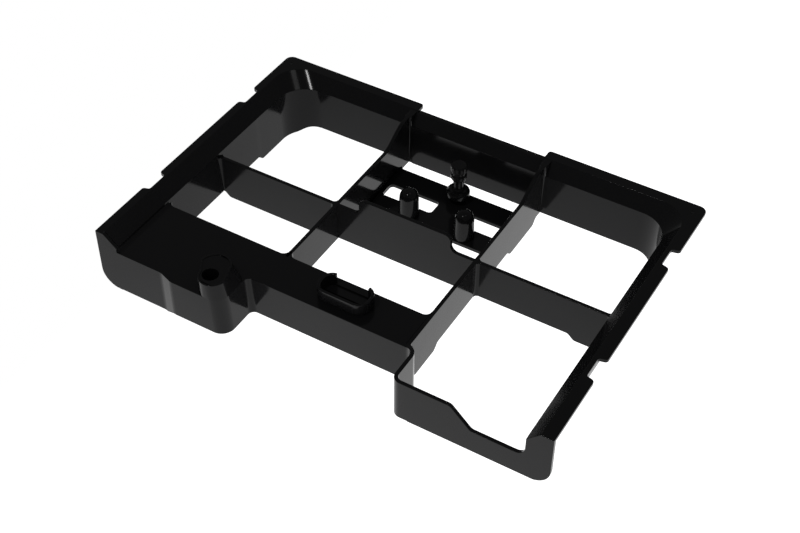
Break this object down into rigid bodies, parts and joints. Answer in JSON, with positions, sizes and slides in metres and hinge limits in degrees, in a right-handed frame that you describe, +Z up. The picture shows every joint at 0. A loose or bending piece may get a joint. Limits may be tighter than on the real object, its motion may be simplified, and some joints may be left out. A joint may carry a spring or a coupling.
{
  "type": "robot chassis equipment tray",
  "caption": "Open moulded chassis tray with flanged rim, divider ribs, raised front deck, slotted sub-floor, posts and screw tower.",
  "frame": {"origin": "under the middle of the part, at the height of its feet", "axes": "+X along the long side, to the right; +Y to the flanged rear; +Z up, out of the open top"},
  "size_m": [0.3105, 0.2142, 0.044],
  "materials": {
    "gloss_black_plastic": "glossy injection-moulded black plastic with faint flow lines and fine scuffs",
    "stud_plastic": "slightly duller turned black plastic"
  },
  "bodies": {
    "root": {"left_wall": "gloss_black_plastic", "right_wall": "gloss_black_plastic", "rear_left_wall": "gloss_black_plastic", "rear_centre_wall": "gloss_black_plastic", "rear_right_wall": "gloss_black_plastic", "left_rim": "gloss_black_plastic", "right_rim": "gloss_black_plastic", "rear_left_rim": "gloss_black_plastic", "rear_right_rim": "gloss_black_plastic", "rear_centre_lip": "gloss_black_plastic", "front_left_plate": "gloss_black_plastic", "front_bulge_wall": "gloss_black_plastic", "front_middle_wall": "gloss_black_plastic", "bay_side_wall": "gloss_black_plastic", "front_right_wall": "gloss_black_plastic", "front_deck": "gloss_black_plastic", "deck_back_wall": "gloss_black_plastic", "under_deck_rib": "gloss_black_plastic", "screw_boss": "gloss_black_plastic", "screw_tower": "gloss_black_plastic", "oval_socket": "gloss_black_plastic", "long_rib_left": "gloss_black_plastic", "long_rib_right": "gloss_black_plastic", "cross_rib_left": "gloss_black_plastic", "cross_rib_centre": "gloss_black_plastic", "cross_rib_right": "gloss_black_plastic", "slotted_tray": "gloss_black_plastic", "post_left": "gloss_black_plastic", "post_right": "gloss_black_plastic", "stud_boss": "gloss_black_plastic", "buffer_stud": "stud_plastic"}
  },
  "joints": []
}
